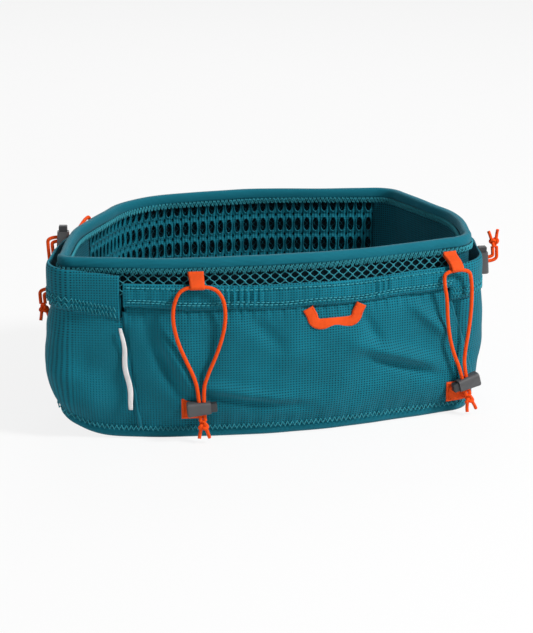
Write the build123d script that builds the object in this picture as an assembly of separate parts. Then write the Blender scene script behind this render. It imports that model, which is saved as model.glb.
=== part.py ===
from build123d import *
import math
import os

# A soft waist pack: a ring of spacer mesh and stretch mesh between two bound edges,
# with pockets sewn on round its outside and elastic cord loops held by cord locks.
# Millimetres, +Z up, the pull loop on the -Y side, the lower edge standing on z = 0.

# ---- the ring ----
PACK_WIDTH = 301.5
PACK_DEPTH = 196.5
PACK_HEIGHT = 130.0
# The plan's middle, measured from the point on the floor under the whole pack's middle.
PLAN_MIDDLE = (-13.12, 1.27)
# Corners of the plan as shares of the half width and half depth, and their radii.
PLAN_CORNERS = [
    (-1.014, -0.742, 10),
    (-0.523, -0.936, 150),
    (0.113, -1.027, 300),
    (0.942, -0.783, 22),
    (1.015, -0.091, 90),
    (0.823, 0.815, 24),
    (0.166, 1.008, 180),
    (-0.523, 0.957, 70),
    (-0.888, 0.011, 150),
]
LAYER = 3.0
SEAM_GAP = 0.2

# ---- bound edges ----
BINDING_HEIGHT = 7.5
BINDING_FOLD = 1.1
BINDING_SLACK = 0.1

# ---- pockets ----
WALL = 1.6
POCKET_DEPTH = 7.0
FLANK_DEPTH = 6.0
PANEL_TOP = 95.0
HEM_BOTTOM = 91.5
HEM_TOP = 114.0
HEM_THICKNESS = 2.8
FAR_HEM_TOP = 106.0
ELASTIC = 1.0
ELASTIC_SLACK = 0.1
FLANK_PANEL_TOP = 89.0
BAND_BOTTOM = 86.5
LEFT_BAND_TOP = 120.5
RIGHT_BAND_TOP = 114.0
BAND = 1.6

# ---- trim ----
STRIP_WIDTH = 4.5
STRIP_LENGTH = 60.0
STRIP_BOTTOM = 23.0
STRIP = 0.6
TAPE_WIDTH = 12.5
TAPE_EYE_WALL = 0.75
TAPE_EYE_SLACK = 0.45
TAPE_ROOT = 1.6
ANCHOR_LENGTH = 15.0
ANCHOR_WIDTH = 14.5
ANCHOR = 0.9

# ---- pull loop ----
PULL_WIDTH = 46.0
PULL_FOOT_WIDTH = 34.0
PULL_DROP = 15.0
PULL_TAPE = 10.5
PULL_THICKNESS = 1.4
PULL_STANDOFF = 1.0
PULL_GAP = 0.5
PULL_PLACE = (0.222, -0.98)

# ---- cords and their locks ----
CORD = 2.6
NEAR_CORD_PLANE = 14.2
FLANK_CORD_PLANE = 13.2
KNOT_WIDTH = 8.5
KNOT_LENGTH = 7.0
TAIL_LENGTH = 7.5
LOCK_FAT_END = 10.5
LOCK_MOUTH = 6.0
LOCK_TALL = 10.5
LOCK_THICK = 9.0
LOCK_TAPER = 3.5
LOCK_CORNER = 2.6
BORE_TALL = 6.4
BORE_THICK = 4.9
BORE_FLOOR = 1.8
BUTTON_SLACK = 0.15
BUTTON_REACH = 4.5
BUTTON_TRAVEL = 2.0
BUTTON_HEEL = 1.6
EYE_SLACK = 0.25
STRAND_PITCH = 3.0
SPRING_WIRE = 0.4
SPRING_RADIUS = 1.4
SPRING_TURNS = 4


def plan_outline(grow=0.0):
    """The plan's outline as a face, grown outwards by that much."""
    points = [(PLAN_MIDDLE[0] + x * PACK_WIDTH / 2, PLAN_MIDDLE[1] + y * PACK_DEPTH / 2)
              for x, y, _ in PLAN_CORNERS]
    radii = [radius for _, _, radius in PLAN_CORNERS]
    face = make_face(FilletPolyline(*points, radius=radii, close=True))
    return offset(face, amount=grow, kind=Kind.ARC) if grow else face


PLAN = plan_outline()
PLAN_WIRE = PLAN.faces()[0].outer_wire()
UP = Vector(0, 0, 1)


def along_plan(x_share, y_share):
    """The nearest point of the outline, its anticlockwise tangent and its outward normal."""
    guess = Vertex(PLAN_MIDDLE[0] + x_share * PACK_WIDTH / 2, PLAN_MIDDLE[1] + y_share * PACK_DEPTH / 2, 0)
    point = PLAN_WIRE.closest_points(guess)[0]
    tangent = PLAN_WIRE.tangent_at(point)
    inward = UP.cross(tangent)
    side = Vector(*PLAN_MIDDLE) - point
    if inward.dot(side) < 0:
        tangent = tangent * -1
        inward = inward * -1
    return point, tangent, inward * -1


def ring(inner, outer):
    """The stretch of plan between two distances from the outline."""
    return plan_outline(outer) - plan_outline(inner)


def wall(sketch, bottom, top):
    return Pos(0, 0, bottom) * extrude(sketch, amount=top - bottom)


# ---- seams, and the zones of the plan between them ----
NEAR_LEFT_SEAM = along_plan(-0.739, -0.854)
NEAR_RIGHT_SEAM = along_plan(0.817, -0.824)
FAR_RIGHT_SEAM = along_plan(0.737, 0.84)
FAR_LEFT_SEAM = along_plan(-0.802, 0.215)
ZONE_INWARD = 30.0
ZONE_OUTWARD = 60.0


def zone(start, end, outside=()):
    """The part of the plan from one seam to the next, and past it both ways."""
    corners = [start[0] - start[2] * ZONE_INWARD, start[0] + start[2] * ZONE_OUTWARD]
    corners += [Vector(*point) for point in outside]
    corners += [end[0] + end[2] * ZONE_OUTWARD, end[0] - end[2] * ZONE_INWARD]
    return make_face(Polyline(*corners, close=True))


NEAR_ZONE = zone(NEAR_LEFT_SEAM, NEAR_RIGHT_SEAM)
FAR_ZONE = zone(FAR_RIGHT_SEAM, FAR_LEFT_SEAM, outside=[(-PACK_WIDTH * 0.5, PACK_DEPTH)])
HALF = Rectangle(2 * PACK_WIDTH, 4 * PACK_DEPTH)
LEFT_ZONE = Pos(PLAN_MIDDLE[0] - PACK_WIDTH, 0) * HALF - NEAR_ZONE - FAR_ZONE
RIGHT_ZONE = Pos(PLAN_MIDDLE[0] + PACK_WIDTH, 0) * HALF - NEAR_ZONE - FAR_ZONE


def shrunk(region, by):
    return offset(region, amount=-by, kind=Kind.INTERSECTION)


def inner_panel(region):
    """One piece of the inner layer, with its edges inside the bindings."""
    edge = BINDING_FOLD + BINDING_SLACK
    return wall(ring(-LAYER, 0) & shrunk(region, SEAM_GAP / 2), edge, PACK_HEIGHT - edge)


def binding(bottom, opens_down):
    """Elastic tape folded over one edge of the inner layer."""
    outer = wall(ring(-LAYER - BINDING_FOLD - BINDING_SLACK, BINDING_FOLD + BINDING_SLACK),
                 bottom, bottom + BINDING_HEIGHT)
    low = bottom - 1 if opens_down else bottom + BINDING_FOLD
    high = bottom + BINDING_HEIGHT - BINDING_FOLD if opens_down else bottom + BINDING_HEIGHT + 1
    return outer - wall(ring(-LAYER - BINDING_SLACK, BINDING_SLACK), low, high)


def pocket(region, depth, top):
    """A pocket's fabric: an outer wall, a floor and two sewn ends, open at the top."""
    bottom = BINDING_HEIGHT + SEAM_GAP
    cloth = wall(ring(SEAM_GAP, depth + WALL) & shrunk(region, SEAM_GAP / 2), bottom, top)
    hollow = wall(ring(0, depth) & shrunk(region, SEAM_GAP / 2 + WALL), bottom + WALL, top + 1)
    return cloth - hollow


def band(region, inner, thickness, bottom, top):
    return wall(ring(inner, inner + thickness) & shrunk(region, SEAM_GAP / 2), bottom, top)


def hem(region, top):
    """A casing along a pocket's mouth, and the flat elastic that runs in it."""
    inner = POCKET_DEPTH + WALL + SEAM_GAP
    skin = (HEM_THICKNESS - ELASTIC) / 2 - ELASTIC_SLACK
    casing = band(region, inner, HEM_THICKNESS, HEM_BOTTOM, top)
    tunnel = wall(ring(inner + skin, inner + HEM_THICKNESS - skin) & shrunk(region, SEAM_GAP / 2 + skin),
                  HEM_BOTTOM + skin, top - skin)
    room = skin + ELASTIC_SLACK
    strap = wall(ring(inner + room, inner + room + ELASTIC) & shrunk(region, SEAM_GAP / 2 + room),
                 HEM_BOTTOM + room, top - room)
    return casing - tunnel, strap


def reflective_strip():
    """A narrow strip on the left flank's seam with the near pocket."""
    point, tangent, outward = NEAR_LEFT_SEAM
    frame = Plane(origin=point, x_dir=tangent, z_dir=UP)
    face = FLANK_DEPTH + WALL + SEAM_GAP
    block = Box(STRIP_WIDTH, STRIP, STRIP_LENGTH)
    middle = Pos(-STRIP_WIDTH / 2 - SEAM_GAP, -face - STRIP / 2, STRIP_BOTTOM + STRIP_LENGTH / 2)
    return frame.location * middle * block


def pull_loop():
    """A flat U of tape that hangs under the near pocket's hem."""
    point, tangent, _ = along_plan(*PULL_PLACE)
    frame = Plane(origin=point, x_dir=tangent, z_dir=UP)
    top = HEM_BOTTOM - PULL_GAP
    low = top - PULL_DROP
    outline = [(-PULL_WIDTH / 2, top), (PULL_WIDTH / 2, top), (PULL_FOOT_WIDTH / 2, low),
               (-PULL_FOOT_WIDTH / 2, low)]
    lean = (PULL_WIDTH - PULL_FOOT_WIDTH) / 2 * (1 - PULL_TAPE * 0.8 / PULL_DROP)
    mouth = PULL_WIDTH / 2 - PULL_TAPE
    gap = [(-mouth, top + 1), (mouth, top + 1), (mouth - lean, low + PULL_TAPE * 0.8),
           (lean - mouth, low + PULL_TAPE * 0.8)]
    tape = make_face(Polyline(*outline, close=True)) - make_face(Polyline(*gap, close=True))
    inner = POCKET_DEPTH + WALL + PULL_STANDOFF
    solid = extrude(Plane.XZ * tape, amount=PULL_THICKNESS)
    return frame.location * Pos(0, -inner, 0) * solid


# ---- cord loops ----
# A loop's frame stands on the outline where its tape tab is sewn. Its first axis runs across
# the loop, its third from the cord lock to the tab, and a point is (across, outward, along).
class Loop:
    def __init__(self, name, place, height, lies, plane, lock, button_side, tilt, toe, route, anchor, root):
        self.name = name
        self.plane = plane
        point, tangent, _ = along_plan(*place)
        if lies == "upright":
            self.frame = Plane(origin=point, x_dir=tangent, z_dir=UP)
            self.tab_along = height
        else:
            across = UP if lies == "left" else UP * -1
            away = tangent * -1 if lies == "left" else tangent
            self.frame = Plane(origin=point + UP * height, x_dir=across, z_dir=away)
            self.tab_along = 0.0
        self.lock = lock
        self.button_side = button_side
        self.tilt = tilt
        self.toe = toe
        self.route = route
        self.anchor = anchor
        self.root = root

    def world(self, point):
        across, outward, along = point
        return self.frame.from_local_coords(Vector(across, -outward, along))

    def lock_location(self):
        """The lock's own frame: +X towards its button, +Z along the cord to the loop."""
        turn = Rot(Y=-self.tilt) if self.button_side > 0 else Rot(Y=-self.tilt) * Rot(Z=180)
        lean = Rot(X=-self.toe)
        across, outward, along = self.lock
        return self.frame.location * Pos(across, -outward, along) * lean * turn


def strand_radii(points):
    """The arc at each corner: 0.45 of the shorter run over the tangent of half the turn."""
    radii = []
    for before, here, after in zip(points, points[1:], points[2:]):
        first = here - before
        second = after - here
        turn = math.radians(first.get_angle(second))
        radii.append(0.45 * min(first.length, second.length) / math.tan(turn / 2))
    return radii


def cord_solid(loop):
    """The loop's cord with the knot and the two tails that its ends are tied into."""
    points = [loop.world(point) for point in loop.route]
    radii = strand_radii(points)
    path = FilletPolyline(*points, radius=radii)
    start = Plane(origin=points[0], z_dir=points[1] - points[0])
    tube = sweep(start * Circle(CORD / 2), path=path)
    print(loop.name, "cord", round(path.length, 1), "mm, radii", [round(r, 1) for r in radii],
          "volume share", round(tube.volume / (math.pi * CORD ** 2 / 4 * path.length), 4))
    ends = (points[0] + points[-1]) / 2
    into = (points[0] - points[1]).normalized()
    apart = points[-1] - points[0]
    seat = Plane(origin=ends, x_dir=apart - into * apart.dot(into), z_dir=into)
    knot = seat.location * extrude(Circle(KNOT_WIDTH / 2), amount=KNOT_LENGTH)
    tails = [seat.location * Pos(side * CORD * 0.75, 0, KNOT_LENGTH) * Rot(Y=side * 14)
             * Pos(0, 0, -CORD / 2) * extrude(Circle(CORD / 2), amount=TAIL_LENGTH)
             for side in (-1, 1)]
    return tube + knot + tails[0] + tails[1]


def tape_tab(loop):
    """Tape folded round the cord at the head of the loop, its ends sewn to the pack."""
    hole = loop.plane
    reach = CORD / 2 + TAPE_EYE_SLACK + TAPE_EYE_WALL
    root = loop.root
    profile = [(root, 12.0), (root + TAPE_ROOT, 12.0), (root + TAPE_ROOT, 9.5), (hole + reach, 3.0),
               (hole + reach, -reach), (hole - reach + 0.4, -reach), (hole - reach + 0.4, 4.6), (root, 8.5)]
    side = make_face(Polyline(*[(-outward, along) for outward, along in profile], close=True))
    eye = Pos(-hole, 0) * Circle(CORD / 2 + TAPE_EYE_SLACK)
    body = extrude(Plane.YZ * (side - eye), amount=TAPE_WIDTH / 2, both=True)
    return loop.frame.location * Pos(0, 0, loop.tab_along) * body


def anchor_tape(loop):
    """A short flat tape sewn to the pack behind the lock."""
    across, along, outward = loop.anchor
    block = Box(ANCHOR_LENGTH, ANCHOR, ANCHOR_WIDTH)
    return loop.frame.location * Pos(across, -outward - ANCHOR / 2, along) * block


EYE_LENGTH = STRAND_PITCH + CORD + 2 * EYE_SLACK
EYE_WIDTH = CORD + 2 * EYE_SLACK


def lock_barrel():
    """A tapered body with a blind bore from its mouth and an eye across it for two strands."""
    length = LOCK_FAT_END + LOCK_MOUTH
    narrowing = 2 * length * math.tan(math.radians(LOCK_TAPER))
    fat_end = RectangleRounded(LOCK_TALL, LOCK_THICK, LOCK_CORNER)
    mouth = RectangleRounded(LOCK_TALL - narrowing, LOCK_THICK - narrowing, LOCK_CORNER * 0.75)
    solid = loft([fat_end, Pos(0, 0, length) * mouth], ruled=True)
    floor = solid.faces().sort_by(Axis.Z)[0]
    solid = fillet(floor.edges(), 1.2)
    bore = Pos(0, 0, BORE_FLOOR) * extrude(Rectangle(BORE_TALL, BORE_THICK), amount=length)
    solid = solid - bore
    # stand it along +X, its tall side along the cord
    solid = Pos(-LOCK_FAT_END, 0, 0) * Rot(Y=90) * solid
    return solid - Box(EYE_LENGTH, EYE_WIDTH, 2 * LOCK_TALL)


def lock_button():
    """A plunger that the spring pushes out, with a longer eye that lets it travel."""
    heel = -EYE_LENGTH / 2 - BUTTON_HEEL
    tip = LOCK_MOUTH + BUTTON_REACH
    tall = BORE_TALL - 2 * BUTTON_SLACK
    thick = BORE_THICK - 2 * BUTTON_SLACK
    solid = Pos((heel + tip) / 2, 0, 0) * Box(tip - heel, thick, tall)
    solid = fillet(solid.faces().sort_by(Axis.X)[-1].edges(), 1.0)
    eye = EYE_LENGTH + BUTTON_TRAVEL
    return solid - Pos(BUTTON_TRAVEL / 2, 0, 0) * Box(eye, EYE_WIDTH, 2 * LOCK_TALL)


def lock_spring():
    """The coil between the bore's floor and the plunger's heel."""
    start = -LOCK_FAT_END + BORE_FLOOR + SPRING_WIRE / 2 + 0.1
    end = -EYE_LENGTH / 2 - BUTTON_HEEL - SPRING_WIRE / 2 - 0.1
    height = end - start
    helix = Helix(pitch=height / SPRING_TURNS, height=height, radius=SPRING_RADIUS)
    wire = Plane(origin=helix @ 0, z_dir=helix % 0) * Circle(SPRING_WIRE / 2)
    coil = sweep(wire, path=helix, is_frenet=True)
    return Pos(start, 0, 0) * Rot(Y=90) * coil


NEAR_LEFT_ROUTE = [
    (1.56, 16.4), (0.06, 37.9), (-3.0, 49.5), (-8.6, 61.5), (-14.2, 75.5), (-17.2, 89.0), (-15.4, 100.6),
    (-10.5, 109.8), (10.5, 109.8),
    (17.6, 103.0), (19.6, 92.4), (17.4, 77.5), (12.2, 62.5), (6.6, 50.0), (3.06, 38.1), (4.56, 16.6),
]
NEAR_RIGHT_ROUTE = [
    (10.41, 15.9), (4.85, 36.7), (-0.2, 47.6), (-4.2, 60.6), (-6.4, 75.6), (-7.2, 90.5), (-9.8, 102.6),
    (-9.6, 110.5), (9.6, 110.5),
    (11.9, 102.4), (12.6, 90.5), (12.2, 77.0), (10.6, 63.0), (8.4, 50.0), (7.75, 37.5), (13.3, 16.7),
]


def flank_route(tails):
    """A loop along the flank that turns outwards through its lock, its ends hanging along tails."""
    flat = FLANK_CORD_PLANE
    lower = [(across, flat + outward, -38.6) for across, outward in tails]
    lower += [(-6.2, flat + 14.0, -38.7), (-1.5, flat + 14.4, -38.44),
             (-1.5, flat, -33.2), (-1.9, flat, -28.6), (-6.4, flat, -19.4), (-9.6, flat, -9.6),
             (-9.7, flat, 0.0)]
    upper = [(9.7, flat, 0.0), (9.5, flat, -9.8), (6.0, flat, -19.6), (1.8, flat, -28.8),
             (1.5, flat, -33.2), (1.5, flat + 17.4, -39.53), (-6.2, flat + 17.0, -39.6)]
    upper += [(across, flat + outward + STRAND_PITCH, -39.7) for across, outward in reversed(tails)]
    return lower + upper


SHORT_TAILS = [(-9.8, 13.6)]
LONG_TAILS = [(-21.8, 12.9), (-13.2, 13.4)]
FLANK_LOCK = (0.0, FLANK_CORD_PLANE + 6.4, -35.53)
FLANK_TOE = 70.0
BAND_FACE = FLANK_DEPTH + WALL + SEAM_GAP + BAND + SEAM_GAP

LOOPS = [
    Loop("near_left", place=(-0.404, -0.953), height=109.8, lies="upright", plane=NEAR_CORD_PLANE,
         lock=(2.4, NEAR_CORD_PLANE, 26.0), button_side=1, tilt=4.0, toe=0.0,
         route=[(across, NEAR_CORD_PLANE, along) for across, along in NEAR_LEFT_ROUTE],
         anchor=(-3.6, 24.5, POCKET_DEPTH + WALL + SEAM_GAP), root=0.3),
    Loop("near_right", place=(0.817, -0.824), height=110.5, lies="upright", plane=NEAR_CORD_PLANE,
         lock=(9.4, NEAR_CORD_PLANE, 25.5), button_side=-1, tilt=15.0, toe=0.0,
         route=[(across, NEAR_CORD_PLANE, along) for across, along in NEAR_RIGHT_ROUTE],
         anchor=(4.0, 19.0, POCKET_DEPTH + WALL + SEAM_GAP), root=0.3),
    Loop("left_upper", place=(-0.682, 0.562), height=114.5, lies="left", plane=FLANK_CORD_PLANE,
         lock=FLANK_LOCK, button_side=1, tilt=0.0, toe=FLANK_TOE,
         route=flank_route(LONG_TAILS), anchor=(0.0, -35.0, BAND_FACE), root=0.3),
    Loop("left_lower", place=(-0.74, 0.42), height=79.5, lies="left", plane=FLANK_CORD_PLANE,
         lock=FLANK_LOCK, button_side=1, tilt=0.0, toe=FLANK_TOE,
         route=flank_route(SHORT_TAILS), anchor=(-1.6, -35.0, FLANK_DEPTH + WALL + SEAM_GAP),
         root=POCKET_DEPTH + WALL + SEAM_GAP),
    Loop("right_side", place=(0.949, 0.219), height=92.0, lies="right", plane=FLANK_CORD_PLANE,
         lock=FLANK_LOCK, button_side=-1, tilt=0.0, toe=FLANK_TOE,
         route=flank_route(SHORT_TAILS), anchor=(0.0, -35.0, BAND_FACE), root=BAND_FACE),
]


def sewn_parts():
    """Everything sewn into the pack, by node name."""
    flank_face = FLANK_DEPTH + WALL + SEAM_GAP
    near_hem, near_elastic = hem(NEAR_ZONE, HEM_TOP)
    far_hem, far_elastic = hem(FAR_ZONE, FAR_HEM_TOP)
    return {
        "near_spacer_panel": inner_panel(NEAR_ZONE),
        "far_spacer_panel": inner_panel(FAR_ZONE),
        "left_stretch_wing": inner_panel(LEFT_ZONE),
        "right_stretch_wing": inner_panel(RIGHT_ZONE),
        "top_binding": binding(PACK_HEIGHT - BINDING_HEIGHT, opens_down=True),
        "bottom_binding": binding(0.0, opens_down=False),
        "near_pocket": pocket(NEAR_ZONE, POCKET_DEPTH, PANEL_TOP),
        "near_hem": near_hem,
        "near_hem_elastic": near_elastic,
        "far_pocket": pocket(FAR_ZONE, POCKET_DEPTH, PANEL_TOP),
        "far_hem": far_hem,
        "far_hem_elastic": far_elastic,
        "left_flank_pocket": pocket(LEFT_ZONE, FLANK_DEPTH, FLANK_PANEL_TOP),
        "left_flank_band": band(LEFT_ZONE, flank_face, BAND, BAND_BOTTOM, LEFT_BAND_TOP),
        "right_flank_pocket": pocket(RIGHT_ZONE, FLANK_DEPTH, FLANK_PANEL_TOP),
        "right_flank_band": band(RIGHT_ZONE, flank_face, BAND, BAND_BOTTOM, RIGHT_BAND_TOP),
        "reflective_strip": reflective_strip(),
        "pull_loop": pull_loop(),
    }


def loop_parts(loop):
    at_lock = loop.lock_location()
    return {
        loop.name + "_cord": cord_solid(loop),
        loop.name + "_tab": tape_tab(loop),
        loop.name + "_anchor_tape": anchor_tape(loop),
        loop.name + "_lock_barrel": at_lock * lock_barrel(),
        loop.name + "_lock_button": at_lock * lock_button(),
        loop.name + "_lock_spring": at_lock * lock_spring(),
    }


def main():
    os.makedirs("parts", exist_ok=True)
    parts = sewn_parts()
    for loop in LOOPS:
        parts.update(loop_parts(loop))
    for name, shape in parts.items():
        export_step(shape, "parts/" + name + ".step")
    whole = Compound(children=[Compound(list(shape.solids())) for shape in parts.values()]).bounding_box()
    print("whole", [round(v, 2) for v in (*whole.min, *whole.max)])
    return parts


if __name__ == "__main__":
    main()
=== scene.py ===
import math

import bpy
import numpy as np
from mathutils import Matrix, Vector


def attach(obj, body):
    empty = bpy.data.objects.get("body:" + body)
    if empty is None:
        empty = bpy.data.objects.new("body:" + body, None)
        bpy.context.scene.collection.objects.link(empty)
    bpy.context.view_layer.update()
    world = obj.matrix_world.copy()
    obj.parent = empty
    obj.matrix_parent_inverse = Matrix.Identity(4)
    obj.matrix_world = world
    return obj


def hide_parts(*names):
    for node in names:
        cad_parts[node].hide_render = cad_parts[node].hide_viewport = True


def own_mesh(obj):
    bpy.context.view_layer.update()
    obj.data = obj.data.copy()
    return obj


# A soft waist pack of spacer mesh and stretch mesh. Lengths in this file are millimetres, and
# every point becomes metres in place() or Loop.world(). A place on the pack is (s, n, z): s runs
# anticlockwise round the plan's outline, n is outwards from it and z is up.

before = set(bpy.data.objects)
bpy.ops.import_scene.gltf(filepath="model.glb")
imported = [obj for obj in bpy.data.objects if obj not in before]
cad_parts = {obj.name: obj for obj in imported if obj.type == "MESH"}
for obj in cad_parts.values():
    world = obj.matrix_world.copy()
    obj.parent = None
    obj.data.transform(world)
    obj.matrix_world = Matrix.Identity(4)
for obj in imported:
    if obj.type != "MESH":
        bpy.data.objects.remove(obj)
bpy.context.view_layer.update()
MM = 0.001
TAU = 2 * math.pi

# ---- the plan, as in the part's source ----
PACK_WIDTH, PACK_DEPTH, PACK_HEIGHT = 301.5, 196.5, 130.0
PLAN_MIDDLE = (-13.12, 1.27)
PLAN_CORNERS = [
    (-1.014, -0.742, 10), (-0.523, -0.936, 150), (0.113, -1.027, 300),
    (0.942, -0.783, 22), (1.015, -0.091, 90), (0.823, 0.815, 24),
    (0.166, 1.008, 180), (-0.523, 0.957, 70), (-0.888, 0.011, 150),
]
LAYER = 3.0
BINDING_HEIGHT = 7.5
NEAR_CORD_PLANE, FLANK_CORD_PLANE = 14.2, 13.2
CORD = 2.6
KNOT_LENGTH = 7.0
TAIL_LENGTH = 7.5


def plan_point(x_share, y_share):
    return np.array((PLAN_MIDDLE[0] + x_share * PACK_WIDTH / 2, PLAN_MIDDLE[1] + y_share * PACK_DEPTH / 2))


def unit(vector):
    return vector / np.linalg.norm(vector)


def outline_table(step=0.5):
    """Points and outward normals round the filleted outline, with the distance round to each."""
    corners = [plan_point(x, y) for x, y, _ in PLAN_CORNERS]
    points, normals = [], []
    for i, corner in enumerate(corners):
        radius = PLAN_CORNERS[i][2]
        back = unit(corners[i - 1] - corner)
        ahead = unit(corners[(i + 1) % len(corners)] - corner)
        half = math.acos(np.clip(back @ ahead, -1, 1)) / 2
        centre = corner + unit(back + ahead) * radius / math.sin(half)
        run = radius / math.tan(half)
        first, last = corner + back * run - centre, corner + ahead * run - centre
        begin = math.atan2(first[1], first[0])
        turn = (math.atan2(last[1], last[0]) - begin + math.pi) % TAU - math.pi
        steps = max(2, int(abs(turn) * radius / step))
        for angle in begin + turn * np.arange(steps + 1) / steps:
            normal = np.array((math.cos(angle), math.sin(angle)))
            points.append(centre + radius * normal)
            normals.append(normal)
    points.append(points[0])
    normals.append(normals[0])
    points, normals = np.array(points), np.array(normals)
    runs = np.linalg.norm(np.diff(points, axis=0), axis=1)
    return np.concatenate(([0.0], np.cumsum(runs))), points, normals


ROUND, POINTS, NORMALS = outline_table()
AROUND = ROUND[-1]


def outline(s):
    s = np.mod(s, AROUND)
    x, y = (np.interp(s, ROUND, POINTS[:, k]) for k in (0, 1))
    nx, ny = (np.interp(s, ROUND, NORMALS[:, k]) for k in (0, 1))
    size = np.hypot(nx, ny)
    return x, y, nx / size, ny / size


# The lower edge rises round the near-left corner: how far, where round, over what reach and height.
CORNER_RISE, CORNER_S, CORNER_REACH, CORNER_TOP = 19.0, -8.0, 27.0, 75.0


def place(s, n, z):
    """Metres, from distance round, offset outwards and height."""
    s, n, z = np.broadcast_arrays(s, n, z)
    x, y, nx, ny = outline(s)
    apart = np.mod(s - CORNER_S + AROUND / 2, AROUND) - AROUND / 2
    rise = CORNER_RISE * np.exp(-((apart / CORNER_REACH) ** 2)) * np.clip(1 - z / CORNER_TOP, 0, 1)
    return np.stack((x + nx * n, y + ny * n, z + rise), axis=-1) * MM


def s_of(x, y):
    """The distance round to the outline's nearest point."""
    s = np.arange(0, AROUND, 0.25)
    px, py, _, _ = outline(s)
    return s[np.argmin(np.hypot(px - x, py - y))]


def s_near(x):
    return s_of(x, PLAN_MIDDLE[1] - PACK_DEPTH / 2)


NEAR_LEFT = s_of(*plan_point(-0.739, -0.854))
NEAR_RIGHT = s_of(*plan_point(0.817, -0.824))
FAR_RIGHT = s_of(*plan_point(0.737, 0.84))
FAR_LEFT = s_of(*plan_point(-0.802, 0.215))
LEFT_END = AROUND + NEAR_LEFT


# ---- materials ----
TEAL = (0.004, 0.165, 0.228)
TEAL_BRIGHT = (0.05, 0.40, 0.49)
# near-black teal for the mesh holes: painted shade seen through them
HOLE_SHADE_TEAL = (0.001, 0.012, 0.018)
ORANGE = (1.0, 0.092, 0.006)
TAPE_ORANGE = (0.82, 0.085, 0.012)


def new_material(name, roughness, sheen=0.0):
    material = bpy.data.materials.new(name)
    material.use_nodes = True
    shader = material.node_tree.nodes["Principled BSDF"]
    shader.inputs["Roughness"].default_value = roughness
    shader.inputs["Specular IOR Level"].default_value = 0.12
    shader.inputs["Sheen Weight"].default_value = sheen
    shader.inputs["Sheen Roughness"].default_value = 0.45
    return material, shader


def node(material, kind, **values):
    made = material.node_tree.nodes.new(kind)
    for key, value in values.items():
        setattr(made, key, value)
    return made


def link(material, a, b):
    material.node_tree.links.new(a, b)


def math_node(material, operation, a, b=None):
    made = node(material, "ShaderNodeMath", operation=operation)
    for socket, value in zip(made.inputs, (a, b)):
        if isinstance(value, (int, float)):
            socket.default_value = value
        elif value is not None:
            link(material, value, socket)
    return made.outputs[0]


def axes(material, source="UV"):
    """The cloth's own coordinates in metres: UV is (round, up), and Object is the row frame."""
    coordinates = node(material, "ShaderNodeTexCoord")
    split = node(material, "ShaderNodeSeparateXYZ")
    link(material, coordinates.outputs[source], split.inputs[0])
    return coordinates.outputs[source], split.outputs


def mottle(material, vector, scale, low, high):
    """Slow colour variation, from low to high."""
    noise = node(material, "ShaderNodeTexNoise")
    noise.inputs["Scale"].default_value = scale
    noise.inputs["Detail"].default_value = 3
    link(material, vector, noise.inputs["Vector"])
    spread = node(material, "ShaderNodeMapRange")
    spread.inputs["To Min"].default_value = low
    spread.inputs["To Max"].default_value = high
    spread.inputs["From Min"].default_value = 0.3
    spread.inputs["From Max"].default_value = 0.7
    link(material, noise.outputs["Fac"], spread.inputs["Value"])
    return spread.outputs["Result"]


def mix_colour(material, factor, a, b):
    made = node(material, "ShaderNodeMix", data_type="RGBA")
    link(material, factor, made.inputs[0])
    for socket, value in ((made.inputs[6], a), (made.inputs[7], b)):
        if isinstance(value, tuple):
            socket.default_value = (*value, 1)
        else:
            link(material, value, socket)
    return made.outputs[2]


def bump(material, shader, height, strength, distance):
    made = node(material, "ShaderNodeBump")
    made.inputs["Strength"].default_value = strength
    made.inputs["Distance"].default_value = distance * MM
    link(material, height, made.inputs["Height"])
    link(material, made.outputs[0], shader.inputs["Normal"])


def wave01(material, coordinate, pitch):
    """A cosine from 0 to 1 along one coordinate in metres, its pitch in millimetres."""
    turns = math_node(material, "MULTIPLY", coordinate, TAU / (pitch * MM))
    scaled = math_node(material, "MULTIPLY", math_node(material, "COSINE", turns), 0.5)
    return math_node(material, "ADD", scaled, 0.5)


def dotted_mesh(name, colour, hole_shade_colour, pitch, strength=0.7, sheen=0.25, hole=0.33):
    """Stretch mesh: rows of tiny round holes in a fine knit, the holes painted near-black as painted shade seen
    through them.
    """
    material, shader = new_material(name, 0.72, sheen)
    vector, (u, v, _) = axes(material)
    grid = math_node(material, "MULTIPLY", wave01(material, u, pitch), wave01(material, v, pitch * 0.92))
    mask = node(material, "ShaderNodeMapRange")
    mask.inputs["From Min"].default_value = 0.72 - hole
    mask.inputs["From Max"].default_value = 1.05 - hole
    link(material, grid, mask.inputs["Value"])
    holes = mask.outputs["Result"]
    shaded = mix_colour(material, mottle(material, vector, 24, 0.0, 1.0),
                        tuple(c * 0.86 for c in colour), tuple(c * 1.12 for c in colour))
    # the holes are painted near-black: painted shade seen through each hole
    base = mix_colour(material, math_node(material, "MULTIPLY", holes, strength), shaded, hole_shade_colour)
    link(material, base, shader.inputs["Base Color"])
    knit = math_node(material, "MULTIPLY", wave01(material, u, 0.55), 0.25)
    height = math_node(material, "SUBTRACT", knit, holes)
    bump(material, shader, height, 0.7, 0.35)
    return material


def ribbed_knit(name, colour, pitch, along="u", strength=0.5, sheen=0.3, contrast=0.4):
    """A knit with ribs across one coordinate, each rib made of small loops."""
    material, shader = new_material(name, 0.7, sheen)
    vector, (u, v, _) = axes(material)
    first, second = (u, v) if along == "u" else (v, u)
    ribs = wave01(material, first, pitch)
    loops = wave01(material, second, pitch * 0.8)
    height = math_node(material, "ADD", ribs, math_node(material, "MULTIPLY", loops, 0.45))
    # the troughs between ribs are painted darker than the crowns: painted shade between the ribs, with random mottle
    # on top
    shade = math_node(material, "MULTIPLY", mottle(material, vector, 30, 0.75, 1.0), ribs)
    base = mix_colour(material, shade, tuple(c * (1 - contrast) for c in colour), colour)
    link(material, base, shader.inputs["Base Color"])
    bump(material, shader, height, strength, 0.3)
    return material


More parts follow.
